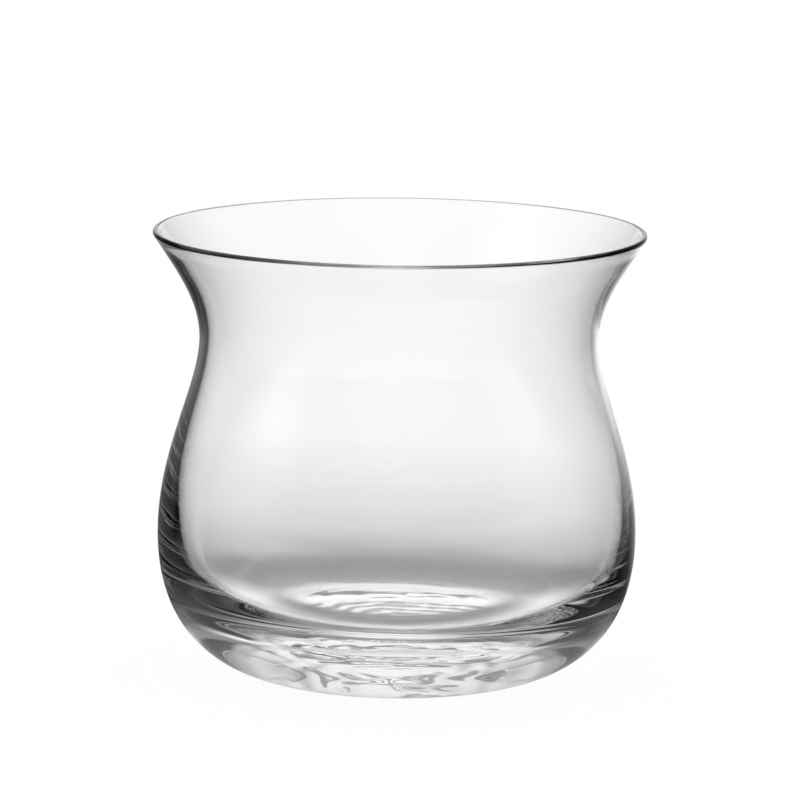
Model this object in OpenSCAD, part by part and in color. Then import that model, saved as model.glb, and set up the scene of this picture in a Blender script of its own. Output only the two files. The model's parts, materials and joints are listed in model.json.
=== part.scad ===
// Clear glass coffee cup without a handle: a flared lip, a drawn-in waist,
// a full belly and a thick, heavy base, all of one piece of glass.
// The wall is one closed outline turned about the Z axis. The outside is drawn
// first, and the inside follows it at the thickness of the glass, down to the
// bowl, which turns in beside the belly and runs out to the floor.

/* [Outside] */
// Diameter over the lip
rim_d = 85; // [78:0.5:94]
// Height from the table to the top of the lip
height = 77.2; // [70:0.1:88]
// Diameter of the waist, the narrowest place below the lip
waist_d = 68.8; // [58:0.1:74]
// Height of the waist above the table
waist_z = 58.4; // [50:0.1:64]
// Diameter of the belly, the widest place above the foot
belly_d = 82.9; // [76:0.1:92]
// Height of the belly above the table
belly_z = 24.5; // [18:0.1:32]
// Diameter of the flat ring that the cup stands on
foot_d = 42; // [28:0.5:46]

/* [Walls] */
// Thickness of the rounded lip
lip_t = 1; // [0.7:0.1:2]
// Thickness of the wall at the waist
waist_t = 1.4; // [1:0.1:3]
// Thickness of the wall beside the bowl's widest place
belly_t = 2.3; // [2:0.1:5]
// How far the bowl's widest place lies above the belly
bowl_rise = 4; // [0:0.5:12]
// Thickness of the glass under the middle of the bowl
base_t = 8.5; // [6:0.5:14]

/* [Underside] */
// Width of the flat ring that the cup stands on
ring_w = 2; // [2:0.5:8]
// Height of the hollow under the base, inside the ring
punt_h = 0.4; // [0.2:0.1:3]

/* [Curves] */
// Angle of the lip from upright, in degrees
lip_angle = 33; // [15:1:45]
// Fullness of the heel next to the foot, as a share of its width
heel_foot = 0.3; // [0.2:0.01:0.7]
// Fullness of the heel next to the belly, as a share of its height
heel_belly = 0.83; // [0.4:0.01:0.9]
// Fullness of the flare next to the waist, as a share of its height
flare_waist = 0.37; // [0.25:0.01:0.6]
// Fullness of the flare next to the lip, as a share of its length
flare_lip = 0.35; // [0.1:0.01:0.45]
// Flatness of the hollow under the base, as a share of its radius
punt_flat = 0.9; // [0.5:0.01:0.95]
// Fullness of the bowl's floor, as a share of its radius
bowl_floor = 0.77; // [0.5:0.01:0.9]
// Fullness of the bowl's side, as a share of its depth
bowl_side = 0.88; // [0.5:0.01:0.9]

/* [Hidden] */
curve_steps = 12;
lip_steps = 2;
around = 180;

// A span is a curve given by its start, two handle points and its end.
// This is the point on it at share t of the way.
function place(span, t) =
    let (s = 1 - t)
        s * s * s * span[0] + 3 * s * s * t * span[1] + 3 * s * t * t * span[2] + t * t * t * span[3];

// Direction that a span runs in at share t of the way, of length 1.
function way(span, t) =
    let (
        s = 1 - t,
        run = s * s * (span[1] - span[0]) + 2 * s * t * (span[2] - span[1]) + t * t * (span[3] - span[2])
    )
    run / norm(run);

// The point inside a rising span, square to it at the given depth.
function inside(span, t, depth) =
    let (run = way(span, t))
        place(span, t) + depth * [-run[1], run[0]];

// Share of the way at which a rising span reaches the height z, by halving.
function share_at(span, z, low = 0, high = 1, halvings = 30) =
    let (middle = (low + high) / 2)
        halvings == 0 ? middle
        : place(span, middle)[1] < z ? share_at(span, z, middle, high, halvings - 1)
        : share_at(span, z, low, middle, halvings - 1);

// Points of a span, without the first one.
function points_on(span) = [for (i = [1 : curve_steps]) place(span, i / curve_steps)];

function reversed(points) = [for (i = [len(points) - 1 : -1 : 0]) points[i]];

// Length of a handle at an upright place, so that the bend there is the same
// as that of the neighbour span, whose handle and reach are given.
function fair_handle(reach, neighbour_handle, neighbour_reach) =
    neighbour_handle * sqrt(reach / neighbour_reach);

// The lip: half a turn from the outer wall over the top to the inner wall,
// with points at its widest and its highest place.
lip_r = lip_t / 2;
lip_middle = [rim_d / 2 - lip_r, height - lip_r];
lip_way = [sin(lip_angle), cos(lip_angle)];
lip_start = lip_middle + lip_r * [cos(lip_angle), -sin(lip_angle)];

function lip_arc(from, to, steps) = [
    for (i = [1 : steps])
        let (angle = from + (to - from) * i / steps)
            lip_middle + lip_r * [cos(angle), sin(angle)]
];

lip = concat(
    lip_arc(-lip_angle, 0, lip_steps),
    lip_arc(0, 90, lip_steps * 2),
    lip_arc(90, 180 - lip_angle, lip_steps * 2)
);

// The outside: heel, shoulder and flare, with no jump in the bend where the
// spans meet at the belly and the waist.
foot = [foot_d / 2, 0];
belly = [belly_d / 2, belly_z];
waist = [waist_d / 2, waist_z];

heel_handle = heel_belly * belly_z;
heel_reach = (1 - heel_foot) * (belly[0] - foot[0]);
heel = [
    foot,
    foot + [heel_foot * (belly[0] - foot[0]), 0],
    belly - [0, heel_handle],
    belly
];

flare_handle = flare_waist * (lip_start[1] - waist[1]);
flare_turn = lip_start - flare_lip * norm(lip_start - waist) * lip_way;
flare_reach = flare_turn[0] - waist[0];
flare = [waist, waist + [0, flare_handle], flare_turn, lip_start];

shoulder_reach = belly[0] - waist[0];
shoulder = [
    belly,
    belly + [0, fair_handle(shoulder_reach, heel_handle, heel_reach)],
    waist - [0, fair_handle(shoulder_reach, flare_handle, flare_reach)],
    waist
];

outer_wall = concat(points_on(heel), points_on(shoulder), points_on(flare));

// The inside: the glass thins quickly above the bowl and evenly to the lip.
bowl_share = share_at(shoulder, belly_z + bowl_rise);

function shoulder_t(t) = waist_t + (belly_t - waist_t) * pow((1 - t) / (1 - bowl_share), 3);

function flare_t(t) = waist_t + (lip_t - waist_t) * t * t * (3 - 2 * t);

inner_shoulder = [
    for (i = [1 : curve_steps])
        let (t = bowl_share + (1 - bowl_share) * i / curve_steps)
            inside(shoulder, t, shoulder_t(t))
];

inner_flare = [
    for (i = [1 : curve_steps - 1])
        let (t = i / curve_steps)
            inside(flare, t, flare_t(t))
];

// The bowl: from the middle of the floor to its widest place, where it takes
// on the lean of the wall above it.
bowl_start = [0, base_t];
bowl_end = inside(shoulder, bowl_share, belly_t);
lean_share = bowl_share + 0.001;
lean_run = inside(shoulder, lean_share, shoulder_t(lean_share)) - bowl_end;
bowl_lean = [lean_run[0] / lean_run[1], 1];
bowl = [
    bowl_start,
    bowl_start + [bowl_floor * bowl_end[0], 0],
    bowl_end - bowl_side * (bowl_end[1] - base_t) * bowl_lean,
    bowl_end
];

inner_wall = concat([bowl_start], points_on(bowl), inner_shoulder, inner_flare);

// The hollow under the base: flat in the middle, with a soft step to the ring.
punt_r = foot_d / 2 - ring_w;
punt = [
    [0, punt_h],
    [punt_flat * punt_r, punt_h],
    [punt_flat * punt_r, 0],
    [punt_r, 0]
];

outline = concat(
    [punt[0]],
    points_on(punt),
    [foot],
    outer_wall,
    lip,
    reversed(inner_wall)
);

module glass_cup() {
    color("gainsboro", 0.4)
        rotate_extrude($fn = around)
            polygon(outline);
}

glass_cup();
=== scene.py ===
"""Clear glass coffee cup: the look of its glass, its studio and its camera.

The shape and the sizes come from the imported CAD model. The cup's own outline is
read from it, made dense and smooth, and turned again with the small waves that
hand-worked glass has."""

import json
import math

import bpy
import numpy as np
from bpy.props import FloatProperty, FloatVectorProperty, IntProperty, PointerProperty
from mathutils import Matrix, Vector

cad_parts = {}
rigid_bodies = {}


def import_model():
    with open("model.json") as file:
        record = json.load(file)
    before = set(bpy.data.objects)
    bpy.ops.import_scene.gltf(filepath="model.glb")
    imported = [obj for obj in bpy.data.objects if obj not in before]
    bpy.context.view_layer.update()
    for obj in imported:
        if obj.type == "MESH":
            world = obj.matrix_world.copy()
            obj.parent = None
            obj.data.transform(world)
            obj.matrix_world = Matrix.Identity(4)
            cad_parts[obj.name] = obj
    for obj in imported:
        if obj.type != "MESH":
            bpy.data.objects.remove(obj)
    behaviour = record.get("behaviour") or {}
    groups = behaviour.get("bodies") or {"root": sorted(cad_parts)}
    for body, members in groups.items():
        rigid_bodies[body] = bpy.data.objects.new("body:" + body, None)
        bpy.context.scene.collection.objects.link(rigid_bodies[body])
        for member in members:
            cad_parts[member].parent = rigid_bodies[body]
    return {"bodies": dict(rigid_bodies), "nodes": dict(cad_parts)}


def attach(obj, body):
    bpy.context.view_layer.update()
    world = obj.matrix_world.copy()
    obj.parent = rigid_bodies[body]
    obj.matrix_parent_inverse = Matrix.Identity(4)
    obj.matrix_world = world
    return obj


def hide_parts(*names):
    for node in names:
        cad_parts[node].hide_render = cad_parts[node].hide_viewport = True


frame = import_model()

bl_info = {
    "name": "Glass coffee cup",
    "version": (1, 0, 0),
    "blender": (4, 5, 0),
    "location": "View3D > Sidebar > Coffee cup",
    "description": "Makes the clear glass of a coffee cup around its CAD model, with a bright studio",
    "category": "Object",
}

CUP_NODE = "glass_cup"
CUP_BODY = "root"
GLASS_SLOT = "clear_glass"
MM = 0.001


def clear_startup():
    """Removes what Blender's start file holds beside the CAD model."""
    kept = set(frame["nodes"].values()) | set(frame["bodies"].values())
    for thing in list(bpy.data.objects):
        if thing not in kept:
            bpy.data.objects.remove(thing, do_unlink=True)


clear_startup()
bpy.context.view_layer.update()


# Sizes and colours that a user would change.


class CupGlassSettings(bpy.types.PropertyGroup):
    """Sizes and colour of the cup's glass"""

    around: IntProperty(
        name="Facets around",
        description="How many facets go round the cup",
        default=288,
        min=48,
        max=720,
    )
    ring_step: FloatProperty(
        name="Ring step",
        description="Largest distance between two rings of the mesh",
        default=0.5 * MM,
        unit="LENGTH",
    )
    inside_shift: FloatVectorProperty(
        name="Inside off centre",
        description="How far the bowl's axis leans off the middle at the foot",
        default=(1.0 * MM, 0.0),
        size=2,
        unit="LENGTH",
    )
    cord_height: FloatProperty(
        name="Cord height",
        description="Height of the faint rings in the wall",
        default=0.004 * MM,
        unit="LENGTH",
    )
    swirl_height: FloatProperty(
        name="Swirl height",
        description="Height of the swirl in the floor of the bowl",
        default=0.025 * MM,
        unit="LENGTH",
    )
    foot_wave_height: FloatProperty(
        name="Foot wave height",
        description="Height of the waves in the hollow under the base",
        default=0.045 * MM,
        unit="LENGTH",
    )
    colour: FloatVectorProperty(
        name="Glass colour",
        description="Tint of the clear glass",
        default=(1.0, 1.0, 1.0),
        size=3,
        subtype="COLOR",
        min=0.0,
        max=1.0,
    )
    ior: FloatProperty(
        name="Index of refraction",
        description="How strongly the glass bends light",
        default=1.52,
        min=1.3,
        max=1.9,
    )


class CupStudioSettings(bpy.types.PropertyGroup):
    """Floor and light of the studio"""

    floor_radius: FloatProperty(
        name="Floor radius",
        description="Radius of the round floor",
        default=12.0,
        unit="LENGTH",
    )
    floor_colour: FloatVectorProperty(
        name="Floor colour",
        description="Colour of the plain floor and of the backdrop",
        default=(1.0, 1.0, 1.0),
        size=3,
        subtype="COLOR",
        min=0.0,
        max=1.0,
    )
    shadow_share: FloatProperty(
        name="Shadow share",
        description="How much of the floor's brightness takes part in the cup's shadow",
        default=0.2,
        subtype="FACTOR",
        min=0.0,
        max=1.0,
    )


# The cup's outline, read from the CAD model.

# Points closer than this, in metres, are at the same place.
SAME_PLACE = 1e-6
# A line that turns less than this runs straight on.
STRAIGHT = math.radians(0.2)
# Points that are mirrored past the axis, so that the curve runs level through it.
MIRRORED_POINTS = 5
# A stretch between two of the CAD model's points has at least this many parts.
LEAST_PARTS = 2


def seam_points(mesh):
    """Points (radius, height) of the mesh on its seam, and the links between them."""
    places = np.array([v.co for v in mesh.vertices], float).reshape(-1, 3)
    on_seam = (np.abs(places[:, 1]) < SAME_PLACE) & (places[:, 0] > -SAME_PLACE)
    points = []
    number_at = {}
    number_of = {}
    for i in np.flatnonzero(on_seam):
        place = tuple(np.round(places[i, [0, 2]] / SAME_PLACE).astype(int))
        if place not in number_at:
            number_at[place] = len(points)
            points.append((max(places[i, 0], 0.0), places[i, 2]))
        number_of[int(i)] = number_at[place]
    links = {number: set() for number in range(len(points))}
    for edge in mesh.edges:
        a, b = (number_of.get(i) for i in edge.vertices)
        if a is not None and b is not None and a != b:
            links[a].add(b)
            links[b].add(a)
    return np.array(points), links


def walk_seam(points, links):
    """The seam's points in order, from the middle of the underside to the bowl's floor."""
    on_axis = [i for i in range(len(points)) if points[i, 0] < SAME_PLACE]
    here = min(on_axis, key=lambda i: points[i, 1])
    order = [here]
    left = set(range(len(points))) - {here}
    while left:
        near = (links[here] & left) or left
        here = min(near, key=lambda i: np.hypot(*(points[i] - points[here])))
        order.append(here)
        left.remove(here)
    return points[order]


def without_straight(line):
    """The line without the points that lie on a straight run."""
    run = np.diff(line, axis=0)
    turn = np.diff(np.unwrap(np.arctan2(run[:, 1], run[:, 0])))
    bent = np.concatenate([[True], np.abs(turn) > STRAIGHT, [True]])
    return line[bent]


def spline(knots, values, at):
    """Natural cubic spline through the values, read at the given places."""
    step = np.diff(knots)
    count = len(knots)
    system = np.eye(count)
    side = np.zeros(values.shape)
    slope = np.diff(values, axis=0) / step[:, None]
    for i in range(1, count - 1):
        system[i, i - 1 : i + 2] = step[i - 1], 2 * (step[i - 1] + step[i]), step[i]
        side[i] = 6 * (slope[i] - slope[i - 1])
    bend = np.linalg.solve(system, side)
    i = np.clip(np.searchsorted(knots, at, side="right") - 1, 0, count - 2)
    h = step[i][:, None]
    a = (knots[i + 1] - at)[:, None] / h
    b = 1 - a
    return (
        a * values[i]
        + b * values[i + 1]
        + ((a**3 - a) * bend[i] + (b**3 - b) * bend[i + 1]) * h * h / 6
    )


def smooth_outline(line, largest_step):
    """The outline as a dense smooth line, with its flat foot kept flat."""
    mirror = line[1 : MIRRORED_POINTS + 1] * (-1, 1)
    mirror_end = line[-MIRRORED_POINTS - 1 : -1] * (-1, 1)
    long_line = np.vstack([mirror[::-1], line, mirror_end[::-1]])
    knots = np.concatenate([[0], np.cumsum(np.hypot(*np.diff(long_line, axis=0).T))])
    first = len(mirror)
    last = first + len(line) - 1
    at = [knots[first]]
    for a, b in zip(knots[first:last], knots[first + 1 : last + 1]):
        parts = max(LEAST_PARTS, math.ceil((b - a) / largest_step))
        at.extend(a + (b - a) * np.arange(1, parts + 1) / parts)
    dense = spline(knots, long_line, np.array(at))
    dense[:, 1] = np.maximum(dense[:, 1], 0.0)
    dense[0, 0] = dense[-1, 0] = 0.0
    return dense


# The waves in hand-worked glass.

# Each set of soft random waves has a length, a count of waves and a seed. One wave is
# as long as its set says, times a number in this spread.
WAVE_SPREAD = (0.7, 1.4)
# The wall's rings are long round the cup and short upward. They start above the
# bowl's corner, grow thin up the wall and end below the lip.
CORD_STRETCH = (0.12, 0.12, 1.0)
CORD_WAVES = {"length": 3.5 * MM, "count": 9, "seed": 3}
FINE_CORD_WAVES = {"length": 1.6 * MM, "count": 7, "seed": 5}
FINE_CORD_SHARE = 0.5
CORD_BREAKS = {"length": 22 * MM, "count": 6, "seed": 8}
CORD_BROKEN = 0.4
CORD_START = (14 * MM, 24 * MM)
CORD_THINNED = (34 * MM, 50 * MM)
CORD_THINNING = 0.75
CORD_END = (66 * MM, 72 * MM)
# A swirl is a spiral of ridges, crossed by a finer one of two arms that turns the
# other way. It leaves its eye smooth and fades out over the last part of its reach.
RIDGE_STEP = 5.5 * MM
CROSS_STEP = 3.4 * MM
CROSS_SHARE = 0.6
CROSS_ARMS = 2
CROSS_BEND = 1.4
SWIRL_BEND = 2.0
SWIRL_BEND_WAVES = {"length": 14 * MM, "count": 7}
SWIRL_EYE = (0.5 * MM, 3 * MM)
SWIRL_FADE = 0.75
FLOOR_SWIRL = {"reach": 20 * MM, "seed": 11}
FOOT_SWIRL = {"middle": (0.0, 0.0), "reach": 16 * MM, "seed": 17}
FOOT_RIPPLES = {"length": 8 * MM, "count": 9, "seed": 23}
FOOT_RIPPLE_SHARE = 0.4
FOOT_RIPPLE_FADE = (10 * MM, 16 * MM)


def smooth_step(values, low, high):
    """0 below low, 1 above high, and a soft rise between them."""
    t = np.clip((values - low) / (high - low), 0, 1)
    return t * t * (3 - 2 * t)


def plane_waves(points, length, count, seed):
    """Soft random waves of about this length at the points, mostly between -1 and 1."""
    dice = np.random.default_rng(seed)
    total = np.zeros(points.shape[:-1])
    for _ in range(count):
        way = dice.normal(size=3)
        way *= 2 * np.pi / (np.linalg.norm(way) * length * dice.uniform(*WAVE_SPREAD))
        total += np.sin(points @ way + dice.uniform(0, 2 * np.pi))
    return total / math.sqrt(count)


def wall_cords(points, settings):
    """Height of the faint rings that working the soft glass leaves in the wall."""
    level = points[..., 2]
    stretched = points * CORD_STRETCH
    rings = plane_waves(stretched, **CORD_WAVES)
    rings += FINE_CORD_SHARE * plane_waves(stretched, **FINE_CORD_WAVES)
    broken = 1 - CORD_BROKEN + CORD_BROKEN * plane_waves(points, **CORD_BREAKS)
    share = smooth_step(level, *CORD_START)
    share *= 1 - CORD_THINNING * smooth_step(level, *CORD_THINNED)
    share *= 1 - smooth_step(level, *CORD_END)
    return settings.cord_height * share * rings * broken


def swirl(points, middle, reach, seed):
    """A spiral of soft ridges round a middle, which fades out at its reach."""
    x = points[..., 0] - middle[0]
    y = points[..., 1] - middle[1]
    far = np.hypot(x, y)
    angle = np.arctan2(y, x)
    bend = SWIRL_BEND * plane_waves(points, seed=seed, **SWIRL_BEND_WAVES)
    ridges = np.sin(2 * np.pi * far / RIDGE_STEP + angle + bend)
    ridges += CROSS_SHARE * np.sin(2 * np.pi * far / CROSS_STEP - CROSS_ARMS * angle - CROSS_BEND * bend)
    return ridges * smooth_step(far, *SWIRL_EYE) * (1 - smooth_step(far, SWIRL_FADE * reach, reach))


def floor_swirl(points, settings):
    """Height of the swirl in the floor of the bowl."""
    return settings.swirl_height * swirl(points, settings.inside_shift, **FLOOR_SWIRL)


def foot_waves(points, settings):
    """Height of the waves in the hollow under the base; the ring round it is flat."""
    waves = swirl(points, **FOOT_SWIRL)
    far = np.hypot(points[..., 0], points[..., 1])
    inner = 1 - smooth_step(far, *FOOT_RIPPLE_FADE)
    waves += FOOT_RIPPLE_SHARE * plane_waves(points, **FOOT_RIPPLES) * inner
    return settings.foot_wave_height * waves


# The cup's mesh.

# The bowl's axis leans more toward the foot, with this power of the depth under the lip.
LEAN_POWER = 2


def outline_normals(outline):
    """Unit normals of the outline, out of the glass."""
    run = np.gradient(outline, axis=0)
    run /= np.hypot(run[:, 0], run[:, 1])[:, None]
    return np.stack([run[:, 1], -run[:, 0]], axis=1)


def turned_points(outline, settings):
    """Points of the turned outline, ring by ring, with the bowl leaning and the glass waved."""
    top = int(np.argmax(outline[:, 1]))
    angle = np.linspace(0, 2 * np.pi, settings.around, endpoint=False)
    round_way = np.stack([np.cos(angle), np.sin(angle)], axis=1)
    points = np.empty((len(outline), settings.around, 3))
    points[..., :2] = outline[:, :1, None] * round_way
    points[..., 2] = outline[:, 1:]
    inside = (np.arange(len(outline)) > top)[:, None]
    lean = inside * (1 - outline[:, 1:] / outline[top, 1]) ** LEAN_POWER
    points[..., :2] += (lean * np.array(settings.inside_shift))[:, None]
    height = wall_cords(points, settings)
    height += np.where(inside, floor_swirl(points, settings), foot_waves(points, settings))
    normals = outline_normals(outline)
    points[..., :2] += (height * normals[:, :1])[..., None] * round_way
    points[..., 2] += height * normals[:, 1:]
    points[..., 2] = np.maximum(points[..., 2], 0.0)
    return points


def turned_faces(count, around):
    """Faces over that many rings: a fan at each end, on the axis, and four-sided ones between."""

    def corner(ring, step):
        return 1 + ring * around + step % around

    end = corner(count, 0)
    faces = [(0, corner(0, j + 1), corner(0, j)) for j in range(around)]
    for i in range(count - 1):
        for j in range(around):
            faces.append((corner(i, j), corner(i, j + 1), corner(i + 1, j + 1), corner(i + 1, j)))
    faces += [(end, corner(count - 1, j), corner(count - 1, j + 1)) for j in range(around)]
    return faces


def turned_mesh(name, outline, settings):
    """Closed mesh of the turned outline, whose ends lie on the axis."""
    points = turned_points(outline, settings)
    bottom = points[0].mean(axis=0)
    rings = points[1:-1]
    floor = points[-1].mean(axis=0)
    corners = [bottom.tolist(), *rings.reshape(-1, 3).tolist(), floor.tolist()]
    mesh = bpy.data.meshes.new(name)
    mesh.from_pydata(corners, [], turned_faces(len(rings), settings.around))
    mesh.update()
    mesh.shade_smooth()
    return mesh


# Shader nodes.

# Numbers of the mix node's sockets for colours.
MIX_SHARE = 0
MIX_FIRST = 6
MIX_SECOND = 7
MIX_RESULT = 2


def set_inputs(tree, node, inputs):
    """Sets a node's inputs, by name or number: a socket is linked, another value is written in."""
    for name, value in inputs.items():
        if isinstance(value, bpy.types.NodeSocket):
            tree.links.new(value, node.inputs[name])
        else:
            node.inputs[name].default_value = value


def add_node(tree, kind, inputs, **settings):
    """A new node with these inputs, and with its own settings by name."""
    node = tree.nodes.new(kind)
    for name, value in settings.items():
        setattr(node, name, value)
    set_inputs(tree, node, inputs)
    return node


def grey(bright):
    """A grey of this brightness, as a colour for a socket."""
    return (bright, bright, bright, 1.0)


def maths(tree, operation, *values):
    """Value socket of a math node."""
    return add_node(tree, "ShaderNodeMath", dict(enumerate(values)), operation=operation).outputs["Value"]


def vector_maths(tree, operation, *vectors):
    """Sockets of a vector math node, Vector and Value."""
    return add_node(tree, "ShaderNodeVectorMath", dict(enumerate(vectors)), operation=operation).outputs


def soft_share(tree, value, low, high):
    """Value socket that goes softly from 0 at low to 1 at high."""
    span = {"Value": value, "From Min": low, "From Max": high}
    return add_node(tree, "ShaderNodeMapRange", span, interpolation_type="SMOOTHSTEP").outputs["Result"]


def over_half(tree, value):
    """Value socket that is 1 where the given one is over a half, and else 0."""
    return maths(tree, "GREATER_THAN", value, 0.5)


def mix_colours(tree, share, first, second):
    """Colour socket that goes from first to second with share."""
    inputs = {MIX_SHARE: share, MIX_FIRST: first, MIX_SECOND: second}
    return add_node(tree, "ShaderNodeMix", inputs, data_type="RGBA").outputs[MIX_RESULT]


def length_of(tree, vector):
    """Value socket with the length of a vector."""
    return vector_maths(tree, "LENGTH", vector)["Value"]


def flat_reach(tree, vector):
    """Sockets with the level length of a vector, and its level way."""
    flat = vector_maths(tree, "MULTIPLY", vector, (1.0, 1.0, 0.0))["Vector"]
    return length_of(tree, flat), vector_maths(tree, "NORMALIZE", flat)["Vector"]


def brightness_ramp(tree, place, stops):
    """Colour socket with a ramp of grey through (place from 0 to 1, brightness)."""
    node = add_node(tree, "ShaderNodeValToRGB", {"Fac": place})
    ramp = node.color_ramp
    while len(ramp.elements) < len(stops):
        ramp.elements.new(0.5)
    for element, (position, bright) in zip(ramp.elements, stops):
        element.position = position
        element.color = grey(bright)
    return node.outputs["Color"]


# The glass.

# Fire-polished glass is not quite even: soft marks run round it, longer than high.
POLISH_HEIGHT = 0.002 * MM
POLISH_STRETCH = (14.0 * MM, 14.0 * MM, 2.5 * MM)
POLISH_DETAIL = 2.0
# The ring under the foot is scratched by the tables it has stood on.
WEAR_HEIGHT = 0.08 * MM
WEAR_STRETCH = (0.6 * MM, 0.6 * MM, 0.6 * MM)
WEAR_DETAIL = 4.0
WORN = 0.35
POLISHED = 0.0


def stretched_noise(tree, place, stretch, detail):
    """Value socket with soft noise in the glass, drawn out by the stretch along each way."""
    drawn = add_node(tree, "ShaderNodeMapping", {"Vector": place, "Scale": stretch}, vector_type="TEXTURE")
    inputs = {"Vector": drawn.outputs["Vector"], "Scale": 1.0, "Detail": detail}
    return add_node(tree, "ShaderNodeTexNoise", inputs).outputs["Fac"]


def ring_wear(tree, place):
    """Value socket with the roughness of the glass: polished, and worn on the ring it stands on."""
    level = add_node(tree, "ShaderNodeSeparateXYZ", {0: place}).outputs["Z"]
    grain = stretched_noise(tree, place, WEAR_STRETCH, WEAR_DETAIL)
    edge = maths(tree, "MULTIPLY_ADD", grain, -WEAR_HEIGHT, level)
    span = {"From Min": -WEAR_HEIGHT, "From Max": 0.0, "To Min": WORN, "To Max": POLISHED}
    return add_node(tree, "ShaderNodeMapRange", {"Value": edge, **span}).outputs["Result"]


def clear_glass(settings):
    """Clear glass, with faint unevenness in its polish and wear on its foot."""
    material = bpy.data.materials.new(GLASS_SLOT)
    material.use_nodes = True
    tree = material.node_tree
    place = tree.nodes.new("ShaderNodeTexCoord").outputs["Object"]
    marks = stretched_noise(tree, place, POLISH_STRETCH, POLISH_DETAIL)
    bump = add_node(tree, "ShaderNodeBump", {"Strength": 1.0, "Distance": POLISH_HEIGHT, "Height": marks})
    finish = {
        "Base Color": (*settings.colour, 1.0),
        "IOR": settings.ior,
        "Transmission Weight": 1.0,
        "Roughness": ring_wear(tree, place),
        "Normal": bump.outputs["Normal"],
    }
    set_inputs(tree, tree.nodes["Principled BSDF"], finish)
    return material


# The studio's floor.

# How bright the painted floor is for sight lines straight through the glass, by distance
# from the cup's axis in millimetres: a painted soft shadow behind the cup, and painted light
# that its bowl gathers before and beside it.
SHADOW_BEHIND = (
    (0, 0.5), (21, 0.45), (24, 0.34), (28, 0.27), (35, 0.24), (38, 0.25), (41, 0.28), (44, 0.335),
    (47, 0.42), (50, 0.51), (53, 0.58), (58, 0.65), (65, 0.71), (75, 0.77), (100, 0.87), (140, 0.95),
    (190, 1.04),
)
LIGHT_BEFORE = (
    (0, 0.4), (10, 0.22), (18, 0.15), (21, 0.25), (24, 0.55), (27, 0.95), (33, 1.15), (42, 1.15),
    (55, 0.95),
)
# The same painted light and shade for sight lines that the glass has mirrored, near
# the cup: behind it, and beside and before it.
MIRRORED_BEHIND = ((0, 0.9), (14, 0.8), (22, 0.7), (28, 1.0), (36, 1.1), (41, 0.9), (46, 0.3), (60, 0.1))
MIRRORED_BEFORE = ((0, 0.8), (14, 0.7), (24, 0.5), (34, 0.35), (60, 0.35))
# Where the one goes over into the other, as cosines of the angle from straight behind.
SHADOW_TURN = (-0.1, 0.55)
MIRRORED_TURN = (-0.1, 0.6)
# Painted light and shade for mirrored sight lines far out, by the angle in degrees
# from the painted lit side, which lies a little to the right of straight behind.
FAR_FLOOR_LIGHT = ((180, 0.35), (150, 0.4), (120, 0.3), (90, 0.05), (65, 0.0), (38, 0.1), (22, 0.35), (0, 1.0))
LIT_SIDE = 10
NEAR_FLOOR = (45 * MM, 90 * MM)
# The ramps by distance end here.
FLOOR_REACH = 200 * MM
# Under the clear base is a painted pool of light, wider than deep, with a soft edge.
LIGHT_POOL_MIDDLE = (-0.5 * MM, 7.0 * MM)
LIGHT_POOL_REACH = (20.0 * MM, 15.5 * MM)
LIGHT_POOL_EDGE = (0.82, 1.18)
# The swirl in the base gathers light into curls, which are painted: rings a step apart round a middle
# before the painted pool of light, much bent. The painted pool is evenly bright further from that middle.
CURL_MIDDLE = (1.0 * MM, -14.0 * MM)
CURL_STEP = 4.5 * MM
CURL_STOPS = ((0.0, 0.36), (0.3, 0.5), (0.65, 0.95), (1.0, 1.1))
CURL_FAR = (19.5 * MM, 22.5 * MM)
LIGHT_POOL_BRIGHT = grey(1.1)
# The wave texture has one ring to each unit of length at this scale.
CURL_SCALE = math.pi / 10
CURL_BEND = 16.0
CURL_DETAIL = 3.0
CURL_DETAIL_SCALE = 0.5
# Sight lines that the lip bends steeply down see painted shade on the floor. They are told by
# how much longer their last stretch is than the floor's distance from the cup's axis.
UNDER_LIP_SHADE = grey(0.38)
LIP_STEEPNESS = (-18 * MM, -8 * MM)
LIP_NEAREST = (88 * MM, 100 * MM)
LIP_FADE = (150 * MM, 200 * MM)
# The floor lies this far below the cup, so that the two don't touch.
FLOOR_GAP = 0.05 * MM
FLOOR_FACETS = 64


def toward(tree, way, turn, rise=0):
    """Value socket with the cosine of a way's angle from a side of the studio, which is given
    in degrees to the right of straight behind and above the floor."""
    turn = math.radians(turn)
    rise = math.radians(rise)
    side = (math.sin(turn) * math.cos(rise), math.cos(turn) * math.cos(rise), math.sin(rise))
    return vector_maths(tree, "DOT_PRODUCT", way, side)["Value"]


def angle_ramp(tree, cosine, stops):
    """Colour socket with a ramp of grey through (angle in degrees, brightness)."""
    share = add_node(tree, "ShaderNodeMapRange", {"Value": cosine, "From Min": -1.0})
    places = [((1 + math.cos(math.radians(angle))) / 2, bright) for angle, bright in stops]
    return brightness_ramp(tree, share.outputs["Result"], places)


def reach_ramp(tree, far, stops):
    """Colour socket with a ramp of grey through (millimetres from the cup's axis, brightness)."""
    share = add_node(tree, "ShaderNodeMapRange", {"Value": far, "From Max": FLOOR_REACH})
    places = [(reach * MM / FLOOR_REACH, bright) for reach, bright in stops]
    return brightness_ramp(tree, share.outputs["Result"], places)


def moved_place(tree, place, middle, reach):
    """Vector socket with a place measured from a middle, in shares of a reach."""
    inputs = {"Vector": place, "Location": (*middle, 0.0), "Scale": (*reach, 1.0)}
    return add_node(tree, "ShaderNodeMapping", inputs, vector_type="TEXTURE").outputs["Vector"]


def off_light_pool(tree, place):
    """Value socket that is 0 on the painted pool of light under the base and 1 off it."""
    in_patch = moved_place(tree, place, LIGHT_POOL_MIDDLE, LIGHT_POOL_REACH)
    return soft_share(tree, length_of(tree, in_patch), *LIGHT_POOL_EDGE)


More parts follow.
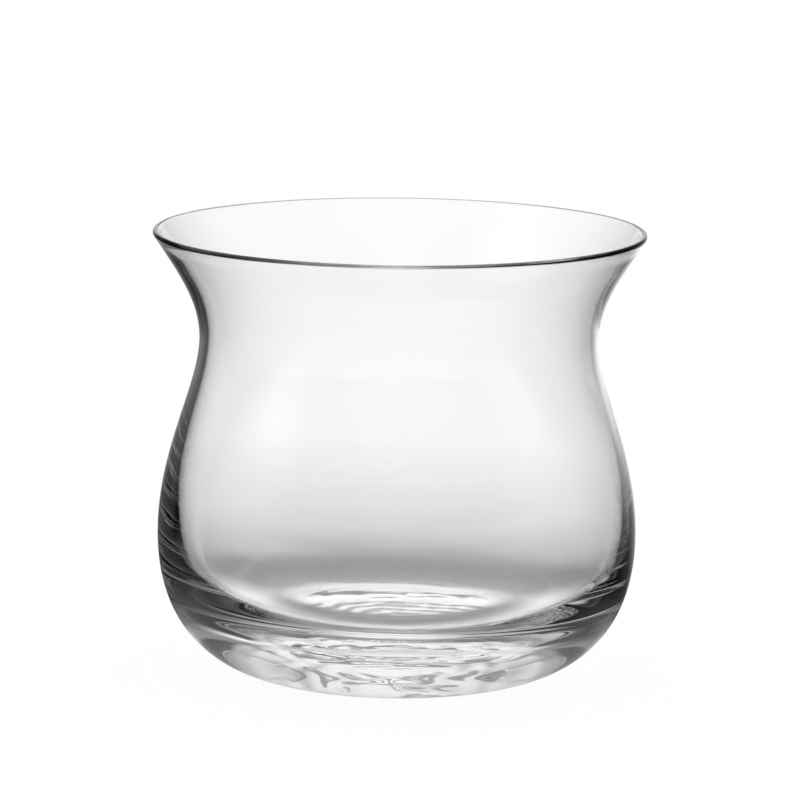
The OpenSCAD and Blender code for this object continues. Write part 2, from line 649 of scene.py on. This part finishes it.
def gathered_light(tree, place):
    """Colour socket with the painted bright and dim curls of light under the base's swirl."""
    in_steps = moved_place(tree, place, CURL_MIDDLE, (CURL_STEP, CURL_STEP))
    inputs = {
        "Vector": in_steps,
        "Scale": CURL_SCALE,
        "Distortion": CURL_BEND,
        "Detail": CURL_DETAIL,
        "Detail Scale": CURL_DETAIL_SCALE,
    }
    curls = add_node(tree, "ShaderNodeTexWave", inputs, wave_type="RINGS", rings_direction="Z")
    light = brightness_ramp(tree, curls.outputs["Fac"], CURL_STOPS)
    far = soft_share(tree, length_of(tree, in_steps), *(reach / CURL_STEP for reach in CURL_FAR))
    return mix_colours(tree, far, light, LIGHT_POOL_BRIGHT)


def from_lip(tree, far, stretch):
    """Value socket that is 1 where a sight line comes steeply down from the lip and sees painted shade."""
    steep = soft_share(tree, maths(tree, "SUBTRACT", stretch, far), *LIP_STEEPNESS)
    past_belly = soft_share(tree, far, *LIP_NEAREST)
    return maths(tree, "MULTIPLY", steep, past_belly)


def straight_floor(tree, place, stretch):
    """Colour socket with the floor as sight lines straight through the glass see it: a painted shadow
    behind the cup, painted light before it and under the base, and painted shade under the lip.
    """
    far, way = flat_reach(tree, place)
    behind = soft_share(tree, toward(tree, way, 0), *SHADOW_TURN)
    before_light = reach_ramp(tree, far, LIGHT_BEFORE)
    # Painted light before and beside the cup, and painted shadow behind it.
    round_light_and_shade = mix_colours(tree, behind, before_light, reach_ramp(tree, far, SHADOW_BEHIND))
    # Painted pool of light with painted curls under the base, over the painted light and shadow round it.
    floor = mix_colours(tree, off_light_pool(tree, place), gathered_light(tree, place), round_light_and_shade)
    # Painted shade on the floor for sight lines steeply down from the lip, fading out far away.
    under_lip_shade = mix_colours(tree, soft_share(tree, far, *LIP_FADE), UNDER_LIP_SHADE, floor)
    return mix_colours(tree, from_lip(tree, far, stretch), floor, under_lip_shade)


def mirrored_floor(tree, place):
    """Colour socket with the floor as sight lines that the glass has mirrored see it, with painted light
    and shade.
    """
    far, way = flat_reach(tree, place)
    behind = soft_share(tree, toward(tree, way, 0), *MIRRORED_TURN)
    near_before = reach_ramp(tree, far, MIRRORED_BEFORE)
    near = mix_colours(tree, behind, near_before, reach_ramp(tree, far, MIRRORED_BEHIND))
    # Painted light and shade on the far floor, brighter toward the painted lit side.
    away = angle_ramp(tree, toward(tree, way, LIT_SIDE), FAR_FLOOR_LIGHT)
    return mix_colours(tree, soft_share(tree, far, *NEAR_FLOOR), near, away)


def open_floor(tree, settings):
    """Shader socket with the floor round the cup: white, with a share of the cup's real shadow."""
    white = (*settings.floor_colour, 1.0)
    glow = add_node(tree, "ShaderNodeEmission", {"Color": white}).outputs[0]
    matt = add_node(tree, "ShaderNodeBsdfDiffuse", {"Color": white}).outputs[0]
    return add_node(tree, "ShaderNodeMixShader", {0: settings.shadow_share, 1: glow, 2: matt}).outputs[0]


def floor_material(settings):
    """Plain white floor, which shows painted light and shadow of the cup to sight lines through the glass.
    """
    material = bpy.data.materials.new("pale_floor")
    material.use_nodes = True
    tree = material.node_tree
    tree.nodes.clear()
    path = tree.nodes.new("ShaderNodeLightPath")
    place = tree.nodes.new("ShaderNodeNewGeometry").outputs["Position"]
    straight = straight_floor(tree, place, path.outputs["Ray Length"])
    mirrored = over_half(tree, path.outputs["Glossy Depth"])
    through = mix_colours(tree, mirrored, straight, mirrored_floor(tree, place))
    glow = add_node(tree, "ShaderNodeEmission", {"Color": through}).outputs[0]
    views = {0: path.outputs["Is Camera Ray"], 1: glow, 2: open_floor(tree, settings)}
    seen = add_node(tree, "ShaderNodeMixShader", views)
    add_node(tree, "ShaderNodeOutputMaterial", {"Surface": seen.outputs[0]})
    return material


def make_floor(settings):
    """The round floor that the cup stands on."""
    mesh = bpy.data.meshes.new("studio_floor")
    radius = settings.floor_radius
    turns = [2 * math.pi * i / FLOOR_FACETS for i in range(FLOOR_FACETS)]
    edge = [(radius * math.cos(turn), radius * math.sin(turn), 0.0) for turn in turns]
    mesh.from_pydata(edge, [], [tuple(range(FLOOR_FACETS))])
    mesh.materials.append(floor_material(settings))
    floor = bpy.data.objects.new("studio_floor", mesh)
    floor.location.z = -FLOOR_GAP
    bpy.context.scene.collection.objects.link(floor)


# The studio's room.

# The backdrop hangs behind the cup, and the room's sides are dark. How bright the
# room is for mirrored sight lines, by the angle from straight behind in degrees, low
# and high. Pairs of angles above the floor say where one band goes over into the next.
LOW_ROOM = (
    (180, 0.15), (150, 0.03), (120, 0.0), (65, 0.03), (38, 0.05), (22, 0.12), (10, 0.85), (0, 1.0),
)
HIGH_ROOM = (
    (180, 0.25), (150, 0.05), (120, 0.0), (90, 0.1), (65, 0.4), (38, 0.75), (22, 0.8), (10, 0.95),
    (0, 1.0),
)
HIGH_FROM = (24, 38)
OVERHEAD = grey(0.33)
OVERHEAD_FROM = (44, 66)
# A soft light hangs at the left. Its angles are from straight behind and above the
# floor, and its spread goes from its edge to where it is full.
SIDE_LIGHT = grey(0.6)
SIDE_LIGHT_WAY = (-105, 34)
SIDE_LIGHT_SPREAD = (28, 10)
# Sight lines straight through the glass see the backdrop, and the dark above it.
BACKDROP = 1.04
OVER_BACKDROP = grey(0.2)
OVER_BACKDROP_FROM = (18, 36)


def above(tree, up, angles):
    """Value socket that goes softly from 0 to 1 between two angles above the floor."""
    return soft_share(tree, up, *(math.sin(math.radians(angle)) for angle in angles))


def straight_room(tree, up, settings):
    """Colour socket with the room as sight lines straight through the glass see it."""
    backdrop = (*(BACKDROP * part for part in settings.floor_colour), 1.0)
    return mix_colours(tree, above(tree, up, OVER_BACKDROP_FROM), backdrop, OVER_BACKDROP)


def mirrored_room(tree, way, up):
    """Colour socket with the room as sight lines that the glass has mirrored see it."""
    behind = toward(tree, flat_reach(tree, way)[1], 0)
    low = angle_ramp(tree, behind, LOW_ROOM)
    high = angle_ramp(tree, behind, HIGH_ROOM)
    room = mix_colours(tree, above(tree, up, HIGH_FROM), low, high)
    room = mix_colours(tree, above(tree, up, OVERHEAD_FROM), room, OVERHEAD)
    edge, full = (math.cos(math.radians(angle)) for angle in SIDE_LIGHT_SPREAD)
    on_side_light = soft_share(tree, toward(tree, way, *SIDE_LIGHT_WAY), edge, full)
    return mix_colours(tree, on_side_light, room, SIDE_LIGHT)


def make_room(settings):
    """White all round for the camera and the floor. The glass shows a room with a backdrop."""
    world = bpy.data.worlds.new("studio_room")
    bpy.context.scene.world = world
    world.use_nodes = True
    world.cycles.sampling_method = "NONE"
    tree = world.node_tree
    path = tree.nodes.new("ShaderNodeLightPath")
    way = tree.nodes.new("ShaderNodeTexCoord").outputs["Generated"]
    up = add_node(tree, "ShaderNodeSeparateXYZ", {0: way}).outputs["Z"]
    white = (*settings.floor_colour, 1.0)
    mirrored = over_half(tree, path.outputs["Glossy Depth"])
    seen = mix_colours(tree, mirrored, straight_room(tree, up, settings), mirrored_room(tree, way, up))
    seen = mix_colours(tree, over_half(tree, path.outputs["Diffuse Depth"]), seen, white)
    seen = mix_colours(tree, path.outputs["Is Camera Ray"], seen, white)
    set_inputs(tree, tree.nodes["Background"], {"Color": seen})


# The camera.

# Lengths are in metres and angles in radians. The focus and the target's place are in
# pixels of the picture, which is this wide and high.
IMAGE_SIZE = 800
SENSOR = 36.0
CAMERA_DISTANCE = 0.9
CAMERA_RISE = 0.1826
CAMERA_ROLL = 0.0119
CAMERA_FOCUS = 5197.0
TARGET_HEIGHT = 0.0375
TARGET_PIXEL = (397.5, 457.0)
FARTHEST_SIGHT = 100.0


def camera_place():
    """Place and turn of the camera, with the target at its pixel of the picture."""
    up_share = math.sin(CAMERA_RISE)
    level_share = math.cos(CAMERA_RISE)
    ahead = Vector((0.0, level_share, -up_share))
    up = Vector((0.0, up_share, level_share))
    right = Vector((1.0, 0.0, 0.0))
    cos_roll = math.cos(CAMERA_ROLL)
    sin_roll = math.sin(CAMERA_ROLL)
    across = TARGET_PIXEL[0] - IMAGE_SIZE / 2
    down = TARGET_PIXEL[1] - IMAGE_SIZE / 2
    side_way = (cos_roll * across + sin_roll * down) / CAMERA_FOCUS
    up_way = (cos_roll * down - sin_roll * across) / CAMERA_FOCUS
    look = (ahead - right * side_way + up * up_way).normalized()
    right = look.cross(up).normalized()
    up = right.cross(look)
    rolled_up = up * cos_roll - right * sin_roll
    rolled_right = right * cos_roll + up * sin_roll
    place = Matrix((rolled_right, rolled_up, -look)).transposed().to_4x4()
    place.translation = Vector((0.0, 0.0, TARGET_HEIGHT)) - ahead * CAMERA_DISTANCE
    return place


def make_camera():
    """Camera with the picture's angle and framing."""
    lens = bpy.data.cameras.new("studio_camera")
    lens.sensor_width = SENSOR
    lens.lens = SENSOR * CAMERA_FOCUS / IMAGE_SIZE
    lens.clip_end = FARTHEST_SIGHT
    camera = bpy.data.objects.new("studio_camera", lens)
    camera.matrix_world = camera_place()
    bpy.context.scene.collection.objects.link(camera)
    bpy.context.scene.camera = camera


LIGHT_BOUNCES = 32


def set_render_look():
    """Plain colours, and light that is followed all the way through the glass."""
    scene = bpy.context.scene
    scene.view_settings.view_transform = "Standard"
    scene.cycles.max_bounces = LIGHT_BOUNCES
    scene.cycles.glossy_bounces = LIGHT_BOUNCES
    scene.cycles.transmission_bounces = LIGHT_BOUNCES
    scene.cycles.blur_glossy = 0.0
    scene.cycles.use_denoising = True


# Operators, panel and registration.


class CUP_OT_make_glass(bpy.types.Operator):
    """Turn the cup's glass from the outline of its CAD model"""

    bl_idname = "cup.make_glass"
    bl_label = "Make the glass"
    bl_options = {"REGISTER", "UNDO"}

    def execute(self, context):
        settings = context.scene.cup_glass
        points, links = seam_points(frame["nodes"][CUP_NODE].data)
        line = without_straight(walk_seam(points, links))
        outline = smooth_outline(line, settings.ring_step)
        mesh = turned_mesh("clear_cup", outline, settings)
        mesh.materials.append(clear_glass(settings))
        cup = bpy.data.objects.new("clear_cup", mesh)
        context.scene.collection.objects.link(cup)
        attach(cup, CUP_BODY)
        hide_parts(CUP_NODE)
        return {"FINISHED"}


class CUP_OT_make_stage(bpy.types.Operator):
    """Set up the pale floor, the studio light and the camera"""

    bl_idname = "cup.make_stage"
    bl_label = "Set up the studio"
    bl_options = {"REGISTER", "UNDO"}

    def execute(self, context):
        settings = context.scene.cup_studio
        make_room(settings)
        make_floor(settings)
        make_camera()
        set_render_look()
        return {"FINISHED"}


class CUP_PT_sidebar(bpy.types.Panel):
    """Makes the cup and its studio, and lists their sizes and colours"""

    bl_label = "Coffee cup"
    bl_idname = "CUP_PT_sidebar"
    bl_space_type = "VIEW_3D"
    bl_region_type = "UI"
    bl_category = "Coffee cup"

    def draw(self, context):
        for settings, operator in (
            (context.scene.cup_glass, CUP_OT_make_glass),
            (context.scene.cup_studio, CUP_OT_make_stage),
        ):
            box = self.layout.box()
            for name in settings.__annotations__:
                box.prop(settings, name)
            box.operator(operator.bl_idname)


CLASSES = (
    CupGlassSettings,
    CupStudioSettings,
    CUP_OT_make_glass,
    CUP_OT_make_stage,
    CUP_PT_sidebar,
)


def register():
    """Registers the classes, and the settings in the scene."""
    for cls in CLASSES:
        bpy.utils.register_class(cls)
    bpy.types.Scene.cup_glass = PointerProperty(type=CupGlassSettings)
    bpy.types.Scene.cup_studio = PointerProperty(type=CupStudioSettings)


def unregister():
    """Takes the settings and the classes away again."""
    del bpy.types.Scene.cup_studio
    del bpy.types.Scene.cup_glass
    for cls in reversed(CLASSES):
        bpy.utils.unregister_class(cls)


def main():
    """Makes the cup and its studio."""
    register()
    bpy.ops.cup.make_glass()
    bpy.ops.cup.make_stage()


if __name__ == "__main__":
    main()
